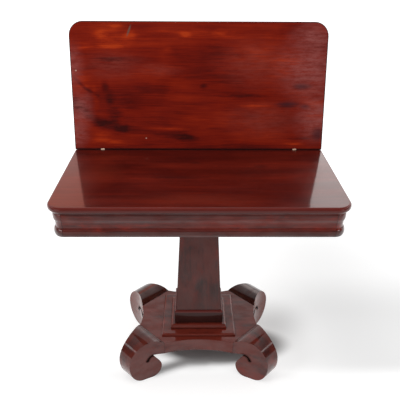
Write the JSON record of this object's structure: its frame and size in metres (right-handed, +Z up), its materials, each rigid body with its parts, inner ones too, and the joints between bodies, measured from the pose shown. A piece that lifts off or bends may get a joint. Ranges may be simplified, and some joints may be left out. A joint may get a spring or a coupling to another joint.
{
  "type": "card table",
  "caption": "Card table with a folding, turning top on a moulded frame, a tapered pillar, a stepped plinth and an incurved platform with scroll feet.",
  "frame": {"origin": "on the floor, under the middle of the overall width and depth with the upper leaf raised as in the picture", "axes": "+Z up, +X to the right of someone facing the front, +Y to the back, where the leaves are hinged"},
  "size_m": [0.914, 0.5725, 1.181],
  "materials": {
    "mahogany_top": "varnished mahogany with a bright red-brown figure, glossy",
    "mahogany": "varnished dark mahogany veneer, glossy",
    "plain_wood": "unfinished secondary softwood",
    "brass": "dull old brass",
    "iron": "dark wrought iron"
  },
  "bodies": {
    "base": {"frame_front_rail": "mahogany", "frame_left_rail": "mahogany", "frame_right_rail": "mahogany", "frame_left_corner": "mahogany", "frame_right_corner": "mahogany", "pillar_front_board": "mahogany", "pillar_back_board": "mahogany", "pillar_left_board": "mahogany", "pillar_right_board": "mahogany", "plinth_block": "mahogany", "plinth_upper_tier": "mahogany", "plinth_lower_tier": "mahogany", "platform": "mahogany", "front_left_foot": "mahogany", "front_right_foot": "mahogany", "back_left_foot": "mahogany", "back_right_foot": "mahogany", "frame_back_rail": "plain_wood", "left_glue_block": "plain_wood", "right_glue_block": "plain_wood", "well_bottom": "plain_wood", "pivot_rail": "plain_wood", "bearer": "plain_wood", "pillar_head_block": "plain_wood", "pillar_core": "plain_wood", "front_left_dowel_1": "plain_wood", "front_left_dowel_2": "plain_wood", "front_right_dowel_1": "plain_wood", "front_right_dowel_2": "plain_wood", "back_left_dowel_1": "plain_wood", "back_left_dowel_2": "plain_wood", "back_right_dowel_1": "plain_wood", "back_right_dowel_2": "plain_wood", "bearer_screw_left": "iron", "bearer_screw_right": "iron"},
    "lower_top": {"lower_leaf": "mahogany_top", "stop_block": "plain_wood", "swivel_plate": "iron", "swivel_washer": "iron", "swivel_nut": "iron", "swivel_plate_screw_1": "iron", "swivel_plate_screw_2": "iron", "swivel_plate_screw_3": "iron", "swivel_plate_screw_4": "iron", "left_hinge_lower_plate": "brass", "left_hinge_lower_screw_1": "brass", "left_hinge_lower_screw_2": "brass", "left_hinge_pin": "brass", "right_hinge_lower_plate": "brass", "right_hinge_lower_screw_1": "brass", "right_hinge_lower_screw_2": "brass", "right_hinge_pin": "brass"},
    "upper_top": {"upper_leaf": "mahogany_top", "left_hinge_upper_plate": "brass", "left_hinge_upper_screw_1": "brass", "left_hinge_upper_screw_2": "brass", "right_hinge_upper_plate": "brass", "right_hinge_upper_screw_1": "brass", "right_hinge_upper_screw_2": "brass"}
  },
  "joints": [
    {"name": "top_swivel", "type": "hinge", "parent": "base", "child": "lower_top", "pos_m": [0.1125, 0.05121, 0.725], "axis": [0, 0, 1], "range_deg": [0, 90]},
    {"name": "leaf_fold", "type": "hinge", "parent": "lower_top", "child": "upper_top", "pos_m": [0, 0.16371, 0.7451], "axis": [1, 0, 0], "range_deg": [-76.55, 103.45]}
  ]
}
